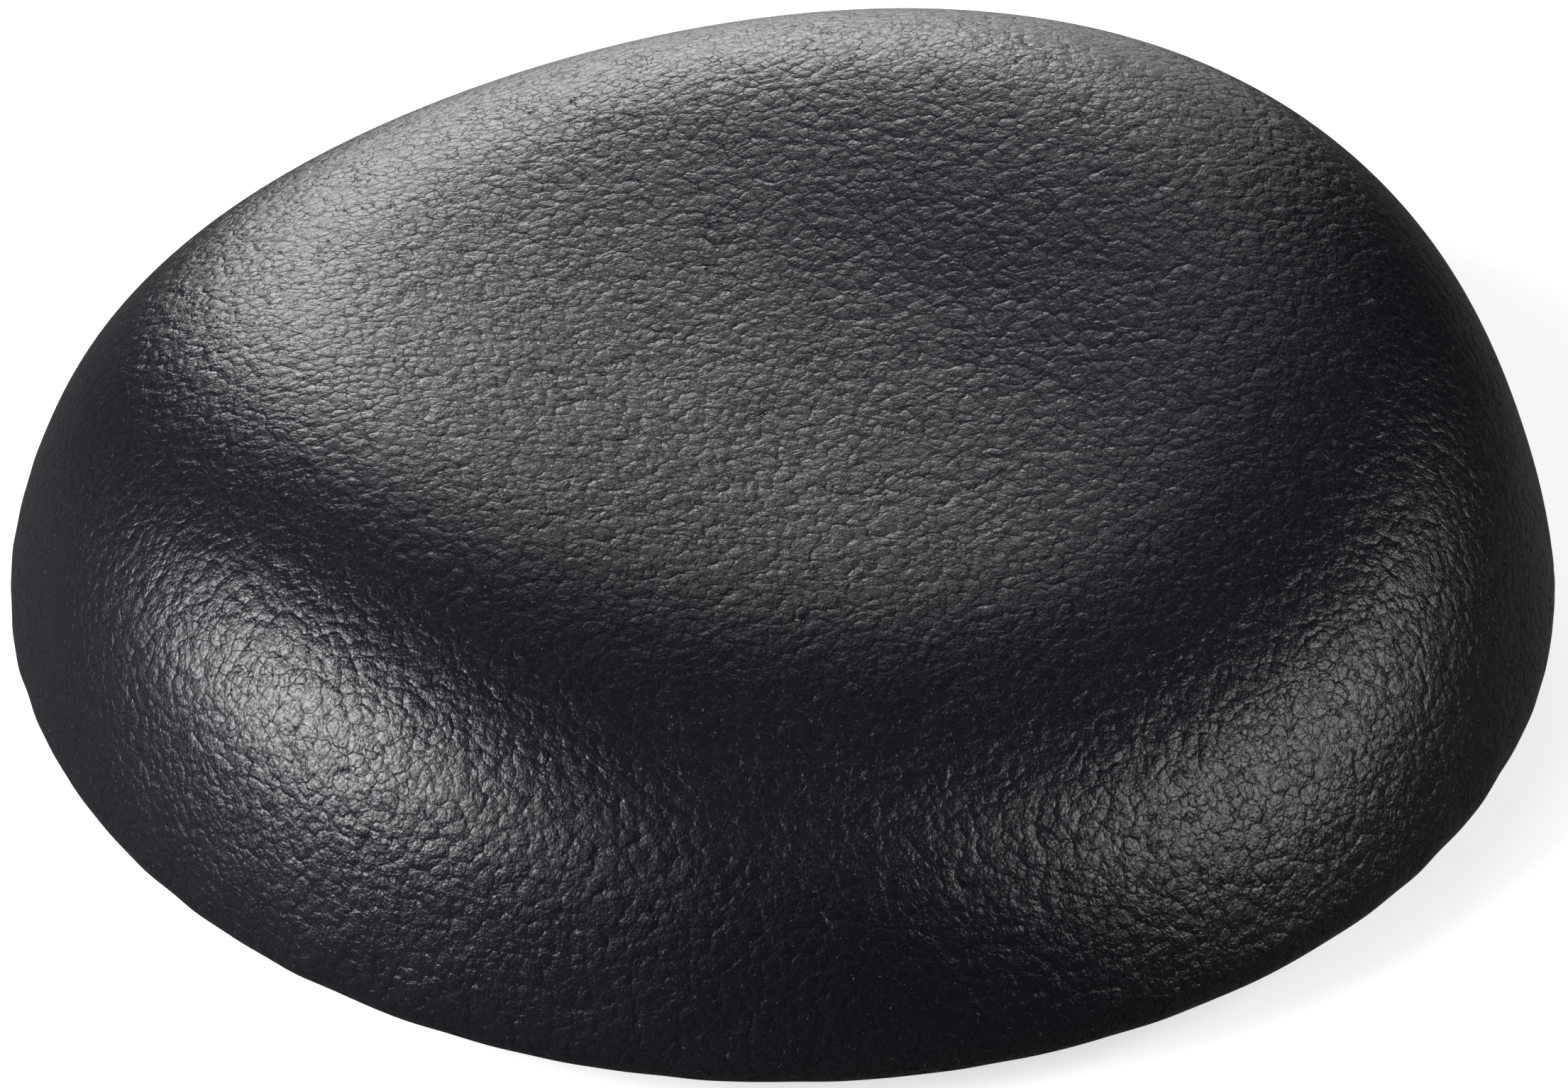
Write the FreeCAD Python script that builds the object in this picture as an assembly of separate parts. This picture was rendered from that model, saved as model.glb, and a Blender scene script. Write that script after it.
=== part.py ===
import FreeCAD, Part
import math
import os

V = FreeCAD.Vector

# ---- overall form of the pad (mm) ----
plan_r = 55.0            # outside radius of the covered pad
trough_h = 23.9          # height of the trough floor above the underside
flank_rise = 6.5         # how much higher the two flanks stand than the trough
flank_r = 44.0           # radius at which the flanks reach that rise
wall_lean = 1.4          # inward lean of the side wall under the rolled edge
wall_low = 2.6           # the wall is upright from here down to the hem
hem_corner = 2.0         # roll of the cover where it turns under
hem_lift = 0.4           # the hem roll starts this far above the fold
around = 24              # control points around the pad

# flat middle of the top: radius as a share of the plan radius
middle_rows = (0.0, 0.15, 0.31, 0.45)

# rolled edge: distance in from the plan radius, drop, tilt of the surface in degrees
edge_rows = (
    (23.0, 0.3, 8.0),
    (17.0, 1.8, 20.0),
    (11.5, 4.1, 32.0),
    (7.0, 7.2, 48.0),
    (3.5, 11.7, 66.0),
)

# side wall: share of its height, share of the lean
wall_rows = ((0.60, 1.0), (0.35, 0.3))

# ---- layer thicknesses ----
skin_t = 1.2             # leather-look cover
wrap_t = 3.0             # soft wrap foam under the cover

# ---- base cover ----
floor_t = 1.6            # moulded floor of the base cover
lip_w = 1.6              # raised lip that closes against the hem
lip_inset = 7.0          # lip outside radius, inward from the pad radius
edge_round = 0.7         # rounded lower edge of the base cover
groove_r = 39.0          # moulded ring groove on the underside
groove_w = 1.2
groove_d = 0.5

# ---- staples ----
wire_t = 0.6             # staple wire height
wire_w = 0.9             # staple wire width
crown_l = 8.0            # staple crown length
leg_l = 4.4              # staple leg above the crown
crown_gap = 0.2          # free height between crown and base cover floor
staple_n = 24

# ---- carrier ----
carrier_gap = 6.0        # pad radius minus carrier radius
hem_on_carrier = 10.0    # width of cover folded on to the carrier
carrier_top = 10.0       # top face of the carrier
plate_t = 2.6            # carrier plate
rib_t = 2.0
rib_clear = 1.0          # ribs stop this far above the base cover floor
ring_rib_r = 17.0

# ---- mounting: four M6 blind inserts on a rectangle ----
bolt_dx = 50.0
bolt_dy = 30.0
bolt_bore_r = 2.5        # M6 minor radius
bolt_bore_l = 8.6
insert_r = 4.0
insert_flange_af = 12.0  # hexagon across flats
insert_flange_t = 1.0
boss_r = 6.0
boss_clear = 0.4         # radial clearance of the boss in the base cover

# ---- base cover screws ----
screw_n = 6
screw_ring_r = 32.0
screw_r = 1.45
screw_head_r = 2.75
screw_sink = 0.1         # head sits this far inside the underside
screw_tip_z = 8.4
screw_boss_r = 3.6
screw_clear = 0.3        # radial clearance of the shank in the base cover
slot_w = 0.7
slot_l = 3.2
slot_d = 0.9

# ---- heights and radii that follow from the sizes above ----
hem_z0 = floor_t + crown_gap + wire_t
hem_z1 = hem_z0 + skin_t
carrier_r = plan_r - carrier_gap
hem_inner_r = carrier_r - hem_on_carrier
staple_r = carrier_r - 0.5 * hem_on_carrier
lip_r = plan_r - lip_inset
plate_z = carrier_top - plate_t
core_inset = skin_t + wrap_t
bolt_points = [(sx * bolt_dx / 2, sy * bolt_dy / 2) for sx in (-1, 1) for sy in (-1, 1)]
screw_angles = [360.0 * i / screw_n for i in range(screw_n)]


def cyl(r, z0, z1, x=0.0, y=0.0):
    return Part.makeCylinder(r, z1 - z0, V(x, y, z0))


def ring(r_out, r_in, z0, z1):
    return cyl(r_out, z0, z1).cut(cyl(r_in, z0, z1))


def at_angle(shape, degrees):
    copy = shape.copy()
    copy.rotate(V(0, 0, 0), V(0, 0, 1), degrees)
    return copy


def top_height(radius, a):
    """Top of the pad before its edge rolls over: a trough along Y, flanks on X."""
    reach = min(radius / flank_r, 1.0)
    return trough_h + flank_rise * math.cos(a) ** 2 * math.sin(math.pi / 2 * reach) ** 2


def profile(a, inset, z_bottom):
    """Control points (radius, z) from the middle of the top down to the hem."""
    points = []
    for share in middle_rows:
        radius = share * plan_r
        points.append((radius, top_height(radius, a) - inset))
    points[1] = (points[1][0], points[0][1])
    for inward, drop, tilt in edge_rows:
        radius = plan_r - inward
        z = top_height(radius, a) - drop - inset * math.cos(math.radians(tilt))
        points.append((radius - inset * math.sin(math.radians(tilt)), z))
    wall_h = points[-1][1] - z_bottom
    for height, lean in wall_rows:
        points.append((plan_r - inset - lean * wall_lean, z_bottom + height * wall_h))
    points.append((plan_r - inset, z_bottom + wall_low))
    points.append((plan_r - inset, z_bottom + hem_lift))
    points.append((plan_r - inset - hem_corner, z_bottom))
    return points


def pad_body(inset, z_bottom):
    """Solid of the pad form, moved inward by the inset, flat at z_bottom."""
    spread = 3.0 / (2.0 + math.cos(2 * math.pi / around))
    rows = []
    for i in range(around):
        a = 2 * math.pi * i / around
        row = []
        for radius, z in profile(a, inset, z_bottom):
            row.append(V(spread * radius * math.cos(a), spread * radius * math.sin(a), z))
        rows.append(row)
    spans = len(rows[0]) - 3
    surface = Part.BSplineSurface()
    surface.buildFromPolesMultsKnots(
        rows,
        [1] * (around + 1),
        [4] + [1] * (spans - 1) + [4],
        [float(i) for i in range(around + 1)],
        [float(i) for i in range(spans + 1)],
        True,
        False,
        3,
        3,
    )
    side = surface.toShape()
    edges = [e for e in side.Edges if abs(e.BoundBox.ZMax - z_bottom) < 1e-6]
    bottom = Part.Face(Part.Wire(edges))
    shell = Part.makeShell([side, bottom])
    shell.sewShape()
    return Part.Solid(shell)


def staples():
    """Ring of wire staples holding the hem to the carrier."""
    half = crown_l / 2
    crown = Part.makeBox(wire_w, crown_l, wire_t, V(staple_r - wire_w / 2, -half, hem_z0 - wire_t))
    leg_a = Part.makeBox(wire_w, wire_t, leg_l, V(staple_r - wire_w / 2, -half, hem_z0))
    leg_b = Part.makeBox(wire_w, wire_t, leg_l, V(staple_r - wire_w / 2, half - wire_t, hem_z0))
    one = crown.fuse([leg_a, leg_b]).removeSplitter()
    step = 360.0 / staple_n
    return Part.makeCompound([at_angle(one, step * (i + 0.5)) for i in range(staple_n)])


def screw_at(x, y):
    """Countersunk self-tapping screw, head down, with a cross recess."""
    cone_h = screw_head_r - screw_r
    head = Part.makeCone(screw_head_r, screw_r, cone_h, V(x, y, screw_sink))
    shank = cyl(screw_r, screw_sink, screw_tip_z - screw_r, x, y)
    tip = Part.makeCone(screw_r, 0.2, screw_r, V(x, y, screw_tip_z - screw_r))
    body = head.fuse([shank, tip]).removeSplitter()
    slot_a = Part.makeBox(slot_l, slot_w, slot_d, V(x - slot_l / 2, y - slot_w / 2, screw_sink))
    slot_b = Part.makeBox(slot_w, slot_l, slot_d, V(x - slot_w / 2, y - slot_l / 2, screw_sink))
    return body.cut([slot_a, slot_b])


def screw_points():
    return [
        (screw_ring_r * math.cos(math.radians(a)), screw_ring_r * math.sin(math.radians(a)))
        for a in screw_angles
    ]


def screws():
    return Part.makeCompound([screw_at(x, y) for x, y in screw_points()])


def hexagon(x, y, z0, z1):
    corner = insert_flange_af / math.sqrt(3)
    pts = [
        V(x + corner * math.cos(math.pi * i / 3), y + corner * math.sin(math.pi * i / 3), z0)
        for i in range(7)
    ]
    return Part.Face(Part.makePolygon(pts)).extrude(V(0, 0, z1 - z0))


def insert_envelope(x, y):
    body = cyl(insert_r, 0.0, carrier_top - insert_flange_t, x, y)
    flange = hexagon(x, y, carrier_top - insert_flange_t, carrier_top)
    return body.fuse(flange).removeSplitter()


def inserts():
    """Blind flanged M6 inserts, dropped in from the foam side."""
    solids = []
    for x, y in bolt_points:
        bore = cyl(bolt_bore_r, 0.0, bolt_bore_l, x, y)
        solids.append(insert_envelope(x, y).cut(bore))
    return Part.makeCompound(solids)


def carrier():
    """Moulded plate with a stapling rim, ribs and bosses underneath."""
    plate = cyl(carrier_r, plate_z, carrier_top)
    rim = ring(carrier_r, hem_inner_r, hem_z1, plate_z)
    rib_z = floor_t + rib_clear
    parts = [rim, ring(ring_rib_r, ring_rib_r - rib_t, rib_z, plate_z)]
    reach = hem_inner_r + rib_t - ring_rib_r
    bar_z = max(rib_z, hem_z1)
    bar = Part.makeBox(reach, rib_t, plate_z - bar_z, V(ring_rib_r - rib_t / 2, -rib_t / 2, bar_z))
    parts += [at_angle(bar, a) for a in screw_angles]
    bolt_angles = [math.degrees(math.atan2(y, x)) for x, y in bolt_points]
    parts += [at_angle(bar, a) for a in bolt_angles]
    parts += [cyl(boss_r, 0.0, plate_z, x, y) for x, y in bolt_points]
    parts += [cyl(screw_boss_r, floor_t, plate_z, x, y) for x, y in screw_points()]
    body = plate.fuse(parts).removeSplitter()
    holes = [insert_envelope(x, y) for x, y in bolt_points]
    for x, y in screw_points():
        holes.append(cyl(screw_r, 0.0, screw_tip_z + 0.2, x, y))
    return body.cut(holes)


def base_cover():
    """Flat moulded cover with a lip that closes against the hem."""
    floor = cyl(lip_r, 0.0, hem_z0)
    floor = floor.makeFillet(edge_round, [e for e in floor.Edges if e.BoundBox.ZMax < 1e-6])
    body = floor.cut(cyl(lip_r - lip_w, floor_t, hem_z0))
    cone_h = screw_head_r - screw_r
    cuts = [ring(groove_r + groove_w / 2, groove_r - groove_w / 2, 0.0, groove_d)]
    for x, y in bolt_points:
        cuts.append(cyl(boss_r + boss_clear, 0.0, floor_t, x, y))
    for x, y in screw_points():
        cuts.append(cyl(screw_head_r, 0.0, screw_sink, x, y))
        cuts.append(Part.makeCone(screw_head_r, screw_r, cone_h, V(x, y, screw_sink)))
        cuts.append(cyl(screw_r + screw_clear, 0.0, floor_t, x, y))
    return body.cut(cuts)


outer = pad_body(0.0, hem_z0)
lining = pad_body(skin_t, hem_z1)
inner = pad_body(core_inset, hem_z1)
above = cyl(carrier_r, carrier_top, trough_h + flank_rise)
staple_set = staples()

cover_skin = outer.cut(lining)
cover_skin = cover_skin.cut([cyl(hem_inner_r, hem_z0, hem_z1)] + staple_set.Solids)
foam_core = inner.common(above)
wrap_foam = lining.cut([foam_core, cyl(carrier_r, hem_z1, carrier_top)])
carrier_plate = carrier().cut(staple_set.Solids)

nodes = {
    "cover_skin": cover_skin,
    "wrap_foam": wrap_foam,
    "foam_core": foam_core,
    "carrier_plate": carrier_plate,
    "threaded_inserts": inserts(),
    "hem_staples": staple_set,
    "base_cover": base_cover(),
    "cover_screws": screws(),
}

os.makedirs("parts", exist_ok=True)
for name, shape in nodes.items():
    shape.exportStep("parts/" + name + ".step")
    box = shape.BoundBox
    print(name, len(shape.Solids), shape.isValid(), round(shape.Volume, 1),
          round(box.XLength, 2), round(box.YLength, 2), round(box.ZMin, 3), round(box.ZMax, 3))
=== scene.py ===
import math

import bpy
import numpy as np
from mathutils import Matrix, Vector


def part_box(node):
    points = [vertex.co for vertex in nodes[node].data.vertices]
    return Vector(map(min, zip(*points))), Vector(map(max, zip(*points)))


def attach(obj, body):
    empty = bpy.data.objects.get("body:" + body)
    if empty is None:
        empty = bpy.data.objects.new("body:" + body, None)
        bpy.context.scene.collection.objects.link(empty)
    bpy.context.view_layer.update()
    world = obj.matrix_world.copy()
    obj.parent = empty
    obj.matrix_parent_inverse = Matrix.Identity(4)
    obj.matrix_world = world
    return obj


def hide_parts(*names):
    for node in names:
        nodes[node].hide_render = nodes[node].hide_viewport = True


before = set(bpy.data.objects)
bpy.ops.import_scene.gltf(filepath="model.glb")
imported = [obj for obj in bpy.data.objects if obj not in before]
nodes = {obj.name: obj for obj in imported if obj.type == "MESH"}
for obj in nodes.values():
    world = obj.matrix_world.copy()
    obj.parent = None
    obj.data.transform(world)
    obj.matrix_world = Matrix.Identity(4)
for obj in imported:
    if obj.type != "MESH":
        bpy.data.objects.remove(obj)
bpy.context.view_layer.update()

MM = 0.001

# ---------------------------------------------------------------- sizes of the pad, in millimetres
# The form values below are the ones that the CAD part's own source gives the pad.
skin_low, skin_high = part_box("cover_skin")
carrier_low, carrier_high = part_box("carrier_plate")
PLAN_R = round((skin_high.x - skin_low.x) / 2 / MM, 0)
HEM_Z = skin_low.z / MM
CARRIER_R = round((carrier_high.x - carrier_low.x) / 2 / MM, 0)
CARRIER_TOP = carrier_high.z / MM
TROUGH_H = 23.9          # height of the trough floor
FLANK_RISE = 6.5         # how much higher the two flanks stand
FLANK_R = 44.0           # radius at which the flanks reach that rise
WALL_LEAN = 1.4          # inward lean of the side wall under the rolled edge
WALL_LOW = 2.6           # the wall is upright from here down to the hem
HEM_CORNER = 2.0         # roll of the cover where it turns under
HEM_LIFT = 0.4           # the hem roll starts this far above the fold
HEM_WIDTH = 10.0         # cover folded on to the carrier
SKIN_T = 1.2             # cover
WRAP_T = 3.0             # soft foam under the cover
LINING_Z = HEM_Z + SKIN_T
HEM_IN_R = CARRIER_R - HEM_WIDTH
MIDDLE = (0.0, 0.15, 0.31, 0.45)  # flat middle: radius as a share of the plan radius
# rolled edge: distance in from the plan radius, drop, tilt of the surface in degrees
EDGE = ((23.0, 0.3, 8.0), (17.0, 1.8, 20.0), (11.5, 4.1, 32.0), (7.0, 7.2, 48.0), (3.5, 11.7, 66.0))
WALL = ((0.60, 1.0), (0.35, 0.3))  # side wall: share of its height, share of the lean

# ---------------------------------------------------------------- sizes of the Blender meshes
COVER_RINGS = 110        # rings of quads from the middle of the top to the edge of the hem
FOAM_AROUND = 192        # points around the two foams
FOAM_ROWS = 40           # rings down the two foams
UNEVEN = 0.10            # gentle waves of the stretched cover, mm
CRUMPLE = 0.10           # shorter waves where the cover rolls into the hem, mm
PLEATS = 46              # pleats around the folded hem
PLEAT_DEPTH = 0.42       # how far a pleat stands out, mm
FOAM_GAP = 0.05          # air between the wrap and its neighbours, mm
CARRIER_GAP = 0.2        # air between the wrap and the carrier's edge, mm


def top_height(radius, a):
    """Top of the pad before its edge rolls over: a trough along Y, flanks on X."""
    reach = min(radius / FLANK_R, 1.0)
    return TROUGH_H + FLANK_RISE * np.cos(a) ** 2 * math.sin(math.pi / 2 * reach) ** 2


def control_rows(a, inset, z_bottom):
    """Radius and height of each control row, for an array of angles."""
    one = np.ones_like(a)
    radii = []
    heights = []
    for share in MIDDLE:
        radii.append(share * PLAN_R * one)
        heights.append(top_height(share * PLAN_R, a) - inset)
    heights[1] = heights[0]
    for inward, drop, tilt in EDGE:
        t = math.radians(tilt)
        radii.append((PLAN_R - inward - inset * math.sin(t)) * one)
        heights.append(top_height(PLAN_R - inward, a) - drop - inset * math.cos(t))
    wall_h = heights[-1] - z_bottom
    for share, lean in WALL:
        radii.append((PLAN_R - inset - lean * WALL_LEAN) * one)
        heights.append(z_bottom + share * wall_h)
    for back, lift in ((0.0, WALL_LOW), (0.0, HEM_LIFT), (HEM_CORNER, 0.0)):
        radii.append((PLAN_R - inset - back) * one)
        heights.append((z_bottom + lift) * one)
    return np.stack(radii, 1), np.stack(heights, 1)


def spline_basis(count, t):
    """Cubic basis of a clamped spline with even knots, for t from 0 to 1."""
    spans = count - 3
    knots = np.concatenate([[0.0] * 3, np.linspace(0.0, 1.0, spans + 1), [1.0] * 3])
    t = np.clip(t, 0.0, 1.0 - 1e-9)
    table = [((t >= knots[i]) & (t < knots[i + 1])).astype(float) for i in range(len(knots) - 1)]
    for degree in (1, 2, 3):
        nxt = []
        for i in range(len(table) - 1):
            value = np.zeros_like(t)
            left = knots[i + degree] - knots[i]
            right = knots[i + degree + 1] - knots[i + 1]
            if left > 0:
                value = value + (t - knots[i]) / left * table[i]
            if right > 0:
                value = value + (knots[i + degree + 1] - t) / right * table[i + 1]
            nxt.append(value)
        table = nxt
    return np.stack(table, 1)


def pad_points(a, t, inset, z_bottom):
    """Radius and height of the pad form at angles a and profile places t."""
    radii, heights = control_rows(a, inset, z_bottom)
    basis = spline_basis(radii.shape[1], t)
    radius = (radii * basis).sum(1)
    height = (heights * basis).sum(1)
    return radius, height


def even_profile(inset, z_bottom, samples=400):
    """Spline parameter and the arc length reached there, from the middle of the top down."""
    t = np.linspace(0.0, 1.0, samples)
    radius, height = pad_points(np.full(samples, math.pi / 4), t, inset, z_bottom)
    step = np.hypot(np.diff(radius), np.diff(height))
    length = np.concatenate([[0.0], np.cumsum(step)])
    return t, length


def disc_grid(rings):
    """Square grid of quads as concentric rings: ring index and angle of every point."""
    side = 2 * rings + 1
    i, j = np.meshgrid(np.arange(side) - rings, np.arange(side) - rings, indexing="ij")
    i = i.ravel().astype(float)
    j = j.ravel().astype(float)
    ring = np.maximum(np.abs(i), np.abs(j))
    safe = np.where(ring > 0, ring, 1.0)
    wide = np.abs(i) >= np.abs(j)
    eighth = math.pi / 4
    angle = np.where(wide, eighth * (j / safe), math.pi / 2 - eighth * (i / safe))
    angle = np.where(wide & (i < 0), math.pi - eighth * (j / safe), angle)
    angle = np.where(~wide & (j < 0), -math.pi / 2 + eighth * (i / safe), angle)
    quads = []
    for p in range(side - 1):
        row = np.arange(side - 1) + p * side
        quads.append(np.stack([row, row + side, row + side + 1, row + 1], 1))
    return ring, angle, np.concatenate(quads), side


def between(value, start, width):
    """0 before the start, 1 after start + width, straight in between."""
    return np.clip((value - start) / width, 0.0, 1.0)


def smooth_noise(a, s, seed, waves, amplitude):
    """Gentle seeded unevenness over angle a and arc place s (millimetres)."""
    rng = np.random.default_rng(seed)
    total = np.zeros_like(a)
    for low, high, gain in waves:
        for _ in range(10):
            around = rng.integers(low, high + 1)
            along = rng.uniform(low, high) / PLAN_R
            turn = rng.uniform(0, 2 * math.pi)
            total = total + gain * np.sin(around * a + along * s + turn) / 10
    return amplitude * total


def stretched(angle, s, on_form, form_len, radius, height):
    """Moves the form by the small waves that a cover pulled over foam keeps."""
    calm = 12.0              # mm from the middle over which the waves come in
    crumple_from = 11.0      # mm before the fold where the crumples begin
    crumple_grow = 9.0       # mm over which they come in
    crumple_to = 2.0         # mm before the fold where they begin to fade
    crumple_fade = 4.0       # mm over which they fade
    wall_from = 0.55         # share of the form's length where the waves turn sideways
    wall_over = 0.3          # share of that length over which they turn
    off_centre = between(on_form, 0.0, calm)
    lift = smooth_noise(angle, s, 7, ((2, 5, 1.0), (6, 11, 0.5)), UNEVEN) * off_centre
    grow = between(s, form_len - crumple_from, crumple_grow)
    near_hem = grow * (1.0 - between(s, form_len - crumple_to, crumple_fade))
    lift = lift + smooth_noise(angle, s, 11, ((26, 44, 1.0), (50, 80, 0.6)), CRUMPLE) * near_hem
    wall = between(s, wall_from * form_len, wall_over * form_len)
    return radius + lift * wall, height + lift * (1.0 - wall)


def pleat_height(angle, under):
    """Height of the pleats at a place this far under the fold, uneven in their spacing."""
    wobble = 0.35 * np.sin(3 * angle + 1.0) + 0.25 * np.sin(7 * angle + 2.0)
    ridge = np.maximum(np.cos(PLEATS * angle + 2.0 * wobble), 0.0) ** 3
    full_depth = 2.0         # mm under the fold where a pleat is at its full depth
    run = HEM_CORNER + 6.0   # mm under the fold where it would end
    fade = 5.0               # mm over which it gets shallower
    pressed = 0.15           # share of its depth that is left on the rest of the hem
    fold = between(under, 0.0, full_depth)
    taper = np.clip((run - under) / fade, pressed, 1.0)
    return PLEAT_DEPTH * ridge * fold * taper


def build_sheet(inset, z_bottom, worn):
    """Points of one whole surface: top, rolled edge, side wall and the hem folded under."""
    ring, angle, quads, side = disc_grid(COVER_RINGS)
    t_table, s_table = even_profile(inset, z_bottom)
    form_len = s_table[-1]
    hem_len = PLAN_R - inset - HEM_CORNER - HEM_IN_R
    s = ring / COVER_RINGS * (form_len + hem_len)
    on_form = np.minimum(s, form_len)
    radius, height = pad_points(angle, np.interp(on_form, s_table, t_table), inset, z_bottom)
    under = np.maximum(s - form_len, 0.0)
    radius = radius - under
    if worn:
        radius, height = stretched(angle, s, on_form, form_len, radius, height)
        height = height - pleat_height(angle, under)
    points = np.stack([radius * np.cos(angle), radius * np.sin(angle), height], 1) * MM
    return points, quads, side


def rim_loop(side):
    """Indices of the outer ring of the square grid, in order."""
    last = side - 1
    loop = [(last, j) for j in range(side)]
    loop += [(i, last) for i in range(last - 1, -1, -1)]
    loop += [(0, j) for j in range(last - 1, -1, -1)]
    loop += [(i, 0) for i in range(1, last)]
    return [i * side + j for i, j in loop]


def mesh_object(name, points, faces):
    mesh = bpy.data.meshes.new(name)
    mesh.from_pydata([tuple(p) for p in points], [], [tuple(int(v) for v in f) for f in faces])
    mesh.validate()
    mesh.update()
    for polygon in mesh.polygons:
        polygon.use_smooth = True
    obj = bpy.data.objects.new(name, mesh)
    bpy.context.scene.collection.objects.link(obj)
    return obj


def cover_shell():
    """The cover: outer face, inner face and the cut edge of the hem."""
    outer, quads, side = build_sheet(0.0, HEM_Z, True)
    inner, quads, side = build_sheet(SKIN_T, LINING_Z, False)
    count = len(outer)
    points = np.concatenate([outer, inner])
    faces = list(quads) + [quad[::-1] + count for quad in quads]
    loop = rim_loop(side)
    for k in range(len(loop)):
        a, b = loop[k], loop[(k + 1) % len(loop)]
        faces.append((b, a, a + count, b + count))
    return mesh_object("armrest_cover", points, faces)


cover = cover_shell()
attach(cover, "root")
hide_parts("cover_skin")


def turned_solid(name, node, profile):
    """Closed form through rings of (radius, height); the first and last ring are the poles."""
    around = FOAM_AROUND
    a = np.linspace(0.0, 2 * math.pi, around, endpoint=False)
    points = [(0.0, 0.0, float(profile[0][1][0]) * MM)]
    for radius, height in profile[1:-1]:
        ring = np.stack([radius * np.cos(a), radius * np.sin(a), height], 1) * MM
        points += [tuple(p) for p in ring]
    points.append((0.0, 0.0, float(profile[-1][1][0]) * MM))
    faces = []
    rows = len(profile) - 2
    for k in range(around):
        n = (k + 1) % around
        faces.append((0, 1 + k, 1 + n))
        for r in range(rows - 1):
            low = 1 + r * around
            faces.append((low + k, low + around + k, low + around + n, low + n))
        last = 1 + (rows - 1) * around
        faces.append((last + n, last + k, len(points) - 1))
    piece = mesh_object(name, points, faces)
    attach(piece, "root")
    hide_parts(node)
    return piece


def form_rings(a, inset, shares):
    """Rings of the pad form at shares of the profile; the share may differ with the angle."""
    return [pad_points(a, share * np.ones_like(a), inset, LINING_Z) for share in shares]


def core_edge(a, inset):
    """Share of the profile at which the core meets the carrier's edge or its top face."""
    steps = 500
    fine = np.linspace(0.0, 1.0, steps)
    edge = np.zeros_like(a)
    for k, angle in enumerate(a):
        radius, height = pad_points(np.full(steps, angle), fine, inset, LINING_Z)
        outside = (radius > CARRIER_R - 0.2) | (height < CARRIER_TOP + 0.5)
        edge[k] = fine[np.argmax(outside)]
    return edge


def foam_pieces():
    """The firm core, and the soft wrap around it and the carrier's edge."""
    a = np.linspace(0.0, 2 * math.pi, FOAM_AROUND, endpoint=False)
    one = np.ones_like(a)
    shares = np.linspace(0.0, 1.0, FOAM_ROWS)
    inset = SKIN_T + WRAP_T
    edge = core_edge(a, inset)
    edge_r, edge_z = pad_points(a, edge, inset, LINING_Z)
    core = form_rings(a, inset, [edge * share for share in shares])
    core.append((edge_r - 0.3, CARRIER_TOP * one))
    core.append((0.5 * edge_r, CARRIER_TOP * one))
    core.append((0.0 * one, CARRIER_TOP * one))
    core_piece = turned_solid("core_foam", "foam_core", core)
    pocket_r = (CARRIER_R + CARRIER_GAP) * one
    pocket_z = CARRIER_TOP + 0.1
    wrap = form_rings(a, SKIN_T + FOAM_GAP, shares)
    wrap.append((pocket_r, LINING_Z * one))
    wrap.append((pocket_r, pocket_z * one))
    wrap.append((edge_r + 0.1, (edge_z + pocket_z) / 2))
    wrap += form_rings(a, inset - FOAM_GAP, [edge * share for share in shares[::-1]])
    wrap_piece = turned_solid("wrap_layer", "wrap_foam", wrap)
    return core_piece, wrap_piece


core_piece, wrap_piece = foam_pieces()


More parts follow.
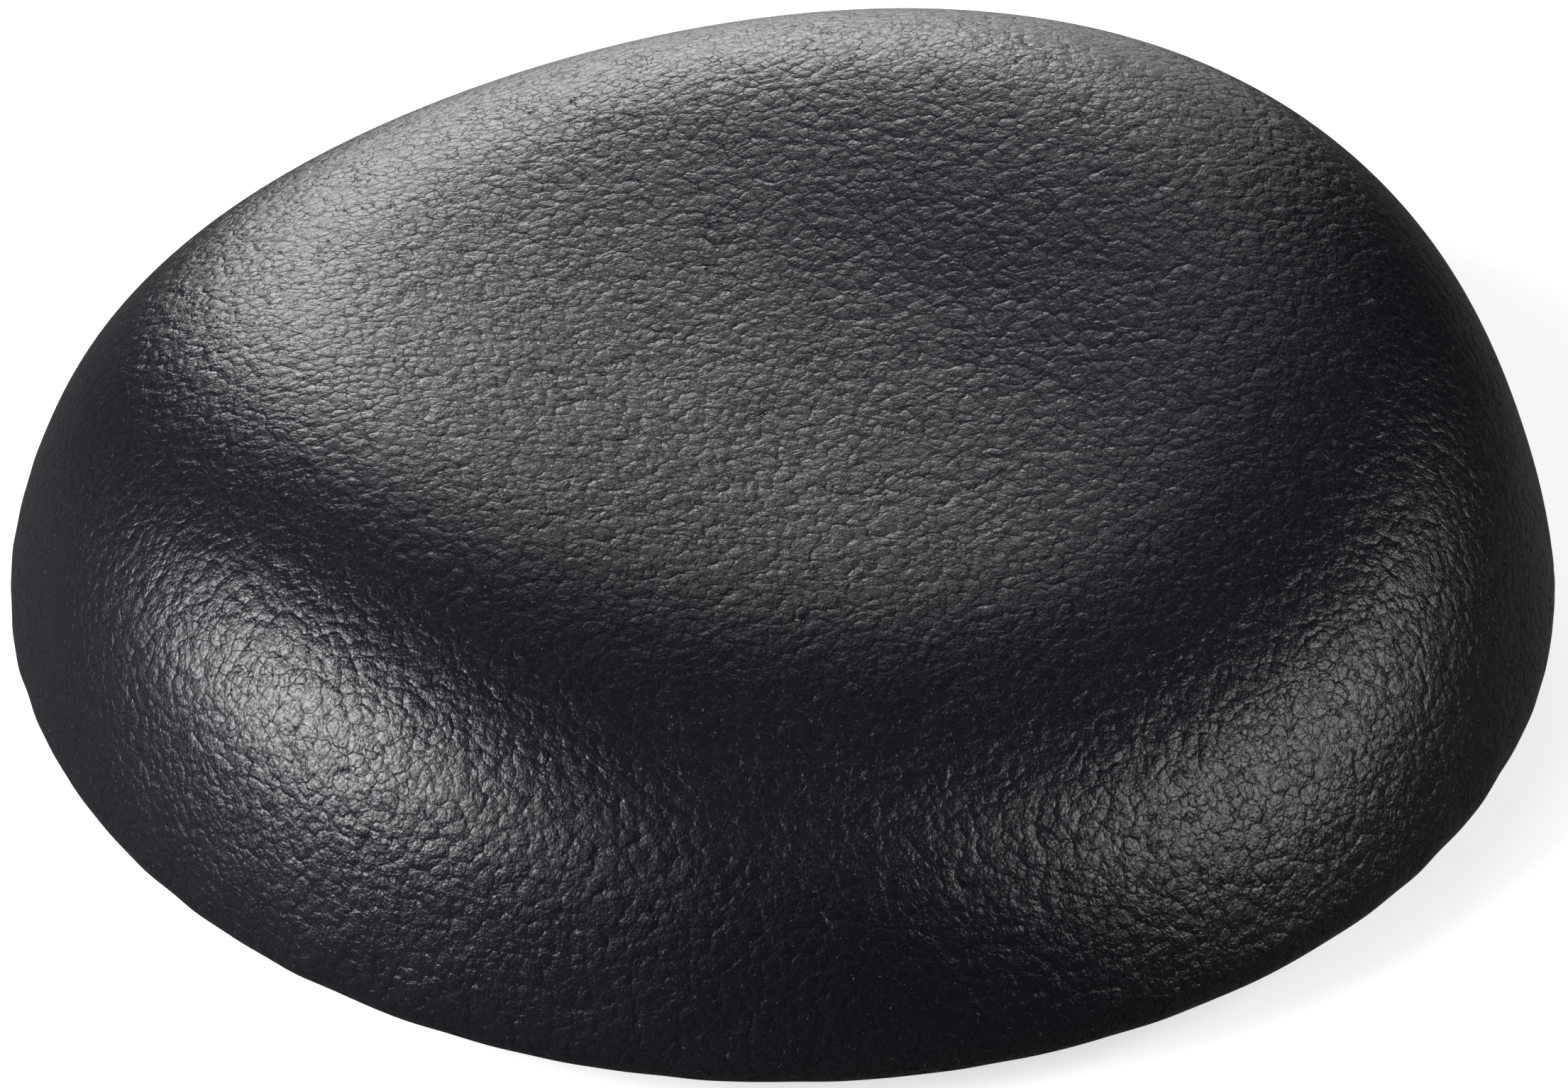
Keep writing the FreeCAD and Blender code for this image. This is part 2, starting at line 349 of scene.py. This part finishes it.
# ---------------------------------------------------------------- materials
class Net:
    """Small helper for building node materials. Texture scales are repeats per metre."""

    def __init__(self, name):
        self.mat = bpy.data.materials.new(name)
        self.mat.use_nodes = True
        self.tree = self.mat.node_tree
        self.shader = self.tree.nodes["Principled BSDF"]
        self.coords = self.node("ShaderNodeTexCoord").outputs["Object"]

    def node(self, kind, **values):
        made = self.tree.nodes.new(kind)
        for key, value in values.items():
            setattr(made, key, value)
        return made

    def link(self, a, b):
        self.tree.links.new(a, b)

    def put(self, socket, value):
        if hasattr(value, "is_output"):
            self.link(value, socket)
        else:
            socket.default_value = value

    def math(self, operation, a, b=0.0, c=0.0, clamp=False):
        made = self.node("ShaderNodeMath", operation=operation, use_clamp=clamp)
        self.put(made.inputs[0], a)
        self.put(made.inputs[1], b)
        self.put(made.inputs[2], c)
        return made.outputs[0]

    def vector(self, operation, a, b):
        made = self.node("ShaderNodeVectorMath", operation=operation)
        self.put(made.inputs[0], a)
        self.put(made.inputs[1], b)
        return made.outputs[0]

    def noise(self, scale, detail=2.0, rough=0.5, where=None, colour=False):
        made = self.node("ShaderNodeTexNoise")
        self.link(where or self.coords, made.inputs["Vector"])
        made.inputs["Scale"].default_value = scale
        made.inputs["Detail"].default_value = detail
        made.inputs["Roughness"].default_value = rough
        return made.outputs["Color" if colour else "Fac"]

    def cells(self, scale, feature, where=None, randomness=1.0):
        made = self.node("ShaderNodeTexVoronoi", feature=feature)
        self.link(where or self.coords, made.inputs["Vector"])
        made.inputs["Scale"].default_value = scale
        made.inputs["Randomness"].default_value = randomness
        return made.outputs["Distance"]

    def ramp(self, value, low, high, to_low=0.0, to_high=1.0):
        made = self.node("ShaderNodeMapRange", interpolation_type="SMOOTHSTEP")
        self.put(made.inputs["Value"], value)
        made.inputs["From Min"].default_value = low
        made.inputs["From Max"].default_value = high
        made.inputs["To Min"].default_value = to_low
        made.inputs["To Max"].default_value = to_high
        return made.outputs["Result"]

    def bump(self, height, distance):
        made = self.node("ShaderNodeBump")
        made.inputs["Strength"].default_value = 1.0
        made.inputs["Distance"].default_value = distance
        self.link(height, made.inputs["Height"])
        return made.outputs["Normal"]

    def blend(self, factor, a, b):
        made = self.node("ShaderNodeMix", data_type="RGBA")
        self.put(made.inputs[0], factor)
        self.put(made.inputs[6], a)
        self.put(made.inputs[7], b)
        return made.outputs[2]

    def set(self, **values):
        names = {
            "colour": "Base Color",
            "rough": "Roughness",
            "metal": "Metallic",
            "ior": "IOR",
            "spec": "Specular IOR Level",
            "normal": "Normal",
        }
        for key, value in values.items():
            self.put(self.shader.inputs[names[key]], value)
        return self.mat


def leather():
    """Pebble-grained cover material: rounded cells, creases between them and fine pores."""
    pebbles = 1120.0
    sub_pebbles = 2300.0
    pore_scale = 4800.0
    roundness = 0.92
    black = (0.0064, 0.0063, 0.0093, 1.0)
    grey = (0.0098, 0.0096, 0.0128, 1.0)
    dust_grey = (0.22, 0.22, 0.21, 1.0)
    n = Net("cover_leather_look")

    # bend the cells so that no crease is straight
    half = (0.5, 0.5, 0.5)
    drift = n.vector("SUBTRACT", n.noise(420.0, 1.0, 0.5, colour=True), half)
    ripple = n.vector("SUBTRACT", n.noise(1500.0, 1.0, 0.5, colour=True), half)
    where = n.vector("ADD", n.coords, n.vector("MULTIPLY", drift, (0.0014, 0.0014, 0.0014)))
    where = n.vector("ADD", where, n.vector("MULTIPLY", ripple, (0.00055, 0.00055, 0.00055)))

    big = n.cells(pebbles, "F1", where, randomness=roundness)
    small = n.cells(sub_pebbles, "F1", where)
    edge = n.cells(pebbles, "DISTANCE_TO_EDGE", where, randomness=roundness)
    pores = n.noise(pore_scale, 2.0, 0.65)
    depth = n.ramp(n.noise(520.0, 2.0, 0.6), 0.36, 0.60, 0.30, 1.0)
    fold = n.math("ABSOLUTE", n.math("SUBTRACT", n.noise(900.0, 2.0, 0.5, where), 0.5))
    fold = n.math("POWER", n.math("SUBTRACT", 1.0, n.math("MULTIPLY", fold, 26.0), clamp=True), 2.0)

    # heights are in tenths of a millimetre
    height = n.math("MULTIPLY", n.math("MULTIPLY", big, big), -0.95)
    height = n.math("MULTIPLY_ADD", n.math("MULTIPLY", small, small), -0.20, height)
    height = n.math("MULTIPLY_ADD", fold, -0.065, height)
    height = n.math("MULTIPLY_ADD", pores, 0.48, height)
    height = n.math("MULTIPLY_ADD", n.noise(560.0, 1.0), 0.75, height)
    normal = n.bump(height, 0.0001)

    cut = n.math("SUBTRACT", 1.0, n.math("MULTIPLY", edge, 12.0), clamp=True)
    cut = n.math("MAXIMUM", n.math("MULTIPLY", cut, depth), n.math("MULTIPLY", fold, 0.45))
    dust = n.ramp(n.noise(3400.0, 1.0), 0.735, 0.765)
    colour = n.blend(n.noise(60.0, 3.0), black, grey)
    colour = n.blend(n.math("MULTIPLY", dust, 0.30), colour, dust_grey)
    rough = n.math("MULTIPLY_ADD", cut, 0.25, 0.24)
    gloss = n.math("MULTIPLY_ADD", cut, -0.46, n.math("MULTIPLY_ADD", pores, -1.5, 1.29))
    return n.set(colour=colour, rough=rough, normal=normal, ior=1.5, spec=gloss)


def plastic(name, dark, light, grain, rough, depth):
    """Moulded plastic with a fine eroded texture and faint scuffs."""
    n = Net(name)
    fine = n.noise(grain, 3.0, 0.6)
    scuff = n.ramp(n.noise(130.0, 5.0, 0.7), 0.55, 0.75)
    colour = n.blend(n.noise(45.0, 2.0), dark, light)
    surface = n.math("MULTIPLY_ADD", scuff, -0.08, n.math("MULTIPLY_ADD", fine, 0.12, rough))
    return n.set(colour=colour, rough=surface, normal=n.bump(fine, depth))


def metal(name, dark, light, rough, rings):
    """Turned or drawn metal with fine tool marks and light tarnish."""
    n = Net(name)
    marks = n.node("ShaderNodeTexWave", wave_type="BANDS", bands_direction="Z")
    n.link(n.coords, marks.inputs["Vector"])
    marks.inputs["Scale"].default_value = rings
    marks.inputs["Distortion"].default_value = 2.0
    tarnish = n.noise(350.0, 4.0, 0.6)
    colour = n.blend(tarnish, dark, light)
    surface = n.math("MULTIPLY_ADD", tarnish, 0.2, rough)
    normal = n.bump(marks.outputs["Fac"], 0.00001)
    return n.set(colour=colour, rough=surface, metal=1.0, normal=normal)


def foam(name, dark, light, cell):
    """Open-cell foam: small pits with painted shade in them and lighter rims."""
    n = Net(name)
    pits = n.cells(cell, "DISTANCE_TO_EDGE")
    # painted shade: the colour darkens from each cell's rim towards its middle, as shade in a pit would
    colour = n.blend(n.ramp(pits, 0.0, 0.3), light, dark)
    return n.set(colour=colour, rough=0.95, spec=0.2, normal=n.bump(pits, 0.0003))


def dress(obj, material):
    """Gives one material to every slot of an object."""
    if not obj.material_slots:
        obj.data.materials.append(material)
    for slot in obj.material_slots:
        slot.material = material


def tone(red, green, blue):
    return (red, green, blue, 1.0)


dress(cover, leather())
# each foam's first tone is the painted shade in its pits, the second the lighter colour of the rims
dress(wrap_piece, foam("soft_foam_look", tone(0.40, 0.40, 0.37), tone(0.68, 0.67, 0.62), 900.0))
dress(core_piece, foam("firm_foam_look", tone(0.10, 0.11, 0.12), tone(0.26, 0.27, 0.28), 1300.0))

base_dark = tone(0.010, 0.010, 0.011)
base_light = tone(0.016, 0.016, 0.017)
dress(nodes["base_cover"], plastic("base_cover_look", base_dark, base_light, 3600.0, 0.42, 0.00004))

carrier_dark = tone(0.022, 0.022, 0.024)
carrier_light = tone(0.034, 0.034, 0.036)
dress(nodes["carrier_plate"], plastic("carrier_look", carrier_dark, carrier_light, 1600.0, 0.50, 0.00003))

brass_dark = tone(0.52, 0.36, 0.14)
brass_light = tone(0.78, 0.60, 0.30)
dress(nodes["threaded_inserts"], metal("insert_look", brass_dark, brass_light, 0.22, 900.0))

wire_dark = tone(0.42, 0.42, 0.43)
wire_light = tone(0.68, 0.68, 0.70)
dress(nodes["hem_staples"], metal("staple_look", wire_dark, wire_light, 0.28, 1500.0))

screw_dark = tone(0.020, 0.020, 0.022)
screw_light = tone(0.060, 0.060, 0.064)
dress(nodes["cover_screws"], metal("screw_look", screw_dark, screw_light, 0.34, 1200.0))


# ---------------------------------------------------------------- camera, in the photograph's direction
SWING = math.radians(37.2)     # from +Y towards +X, the way the camera looks
LIFT = math.radians(37.9)      # height of the camera above the horizontal
DISTANCE = 0.800
VIEW_WIDTH = 0.11224           # width of the picture at the pad, in metres
right = Vector((math.cos(SWING), -math.sin(SWING), 0.0))
away = Vector((math.sin(SWING), math.cos(SWING), 0.0))
upward = away * math.sin(LIFT) + Vector((0.0, 0.0, math.cos(LIFT)))
toward = -away * math.cos(LIFT) + Vector((0.0, 0.0, math.sin(LIFT)))
target = right * 0.00009 + upward * 0.00535
eye = bpy.data.cameras.new("eye")
eye.sensor_width = 36.0
eye.lens = eye.sensor_width * DISTANCE / VIEW_WIDTH
eye.clip_start = 0.01
camera = bpy.data.objects.new("eye", eye)
camera.location = target + toward * DISTANCE
camera.rotation_euler = (camera.location - target).to_track_quat("Z", "Y").to_euler()
bpy.context.scene.collection.objects.link(camera)
bpy.context.scene.camera = camera


# ---------------------------------------------------------------- floor and studio light
FLOOR_HALF = 3.0
FLOOR_Z = -0.0002              # a little low, so that it never shares a plane with the base cover
floor_mesh = bpy.data.meshes.new("studio_floor")
corners = [(-FLOOR_HALF, -FLOOR_HALF, 0), (FLOOR_HALF, -FLOOR_HALF, 0)]
corners += [(FLOOR_HALF, FLOOR_HALF, 0), (-FLOOR_HALF, FLOOR_HALF, 0)]
floor_mesh.from_pydata(corners, [], [(0, 1, 2, 3)])
floor = bpy.data.objects.new("studio_floor", floor_mesh)
bpy.context.scene.collection.objects.link(floor)
floor.location.z = FLOOR_Z
floor_net = Net("studio_floor_look")
floor_net.shader.inputs["Emission Color"].default_value = (1.0, 1.0, 1.0, 1.0)
floor_net.shader.inputs["Emission Strength"].default_value = 0.60
dress(floor, floor_net.set(colour=(0.90, 0.90, 0.90, 1.0), rough=0.8, spec=0.2))
# the pad's lower wall is dark in the photograph, so the floor sends no light back on to it
floor.visible_glossy = False
floor.visible_diffuse = False

LAMP_DISTANCE = 1.3
LAMP_AIM = Vector((0.0, 0.0, 0.012))


def softbox(name, heading, lift, size, radiance):
    """Area light aimed at the pad. Heading is in degrees from the camera's right, towards the back."""
    turn = math.radians(heading)
    rise = math.radians(lift)
    flat = right * math.cos(turn) + away * math.sin(turn)
    way = flat * math.cos(rise) + Vector((0.0, 0.0, math.sin(rise)))
    lamp = bpy.data.lights.new(name, "AREA")
    lamp.shape = "ELLIPSE"
    lamp.color = (0.985, 0.985, 1.0)
    lamp.size, lamp.size_y = size
    area = math.pi * size[0] * size[1] / 4
    lamp.energy = radiance * math.pi * area
    obj = bpy.data.objects.new(name, lamp)
    obj.location = way * LAMP_DISTANCE + LAMP_AIM
    obj.rotation_euler = way.to_track_quat("Z", "Y").to_euler()
    bpy.context.scene.collection.objects.link(obj)


# the lamps' places, sizes and strengths were fitted to the photograph's shading and then rounded
softbox("key_wide", 211.0, 32.0, (1.70, 1.16), 1.65)
softbox("key_left", 195.0, 23.0, (1.04, 1.20), 9.3)
softbox("fill_right", 350.0, 29.0, (1.15, 0.80), 4.0)
softbox("back_low", 99.0, 10.0, (0.56, 0.68), 3.7)
softbox("back_tall", 91.0, 17.0, (0.93, 2.30), 0.83)


def studio_sky(low, horizon_low, horizon_high):
    """Dark surroundings with a faint glow from below the horizon."""
    world = bpy.data.worlds.new("studio")
    bpy.context.scene.world = world
    world.use_nodes = True
    sky = world.node_tree.nodes
    place = sky.new("ShaderNodeTexCoord")
    split = sky.new("ShaderNodeSeparateXYZ")
    fade = sky.new("ShaderNodeMapRange")
    world.node_tree.links.new(place.outputs["Generated"], split.inputs[0])
    world.node_tree.links.new(split.outputs["Z"], fade.inputs["Value"])
    fade.inputs["From Min"].default_value = horizon_low
    fade.inputs["From Max"].default_value = horizon_high
    fade.inputs["To Min"].default_value = low
    fade.inputs["To Max"].default_value = 0.0
    world.node_tree.links.new(fade.outputs["Result"], sky["Background"].inputs["Strength"])
    sky["Background"].inputs["Color"].default_value = (1.0, 1.0, 1.0, 1.0)


studio_sky(0.10, -0.35, 0.05)
bpy.context.scene.view_settings.view_transform = "Standard"
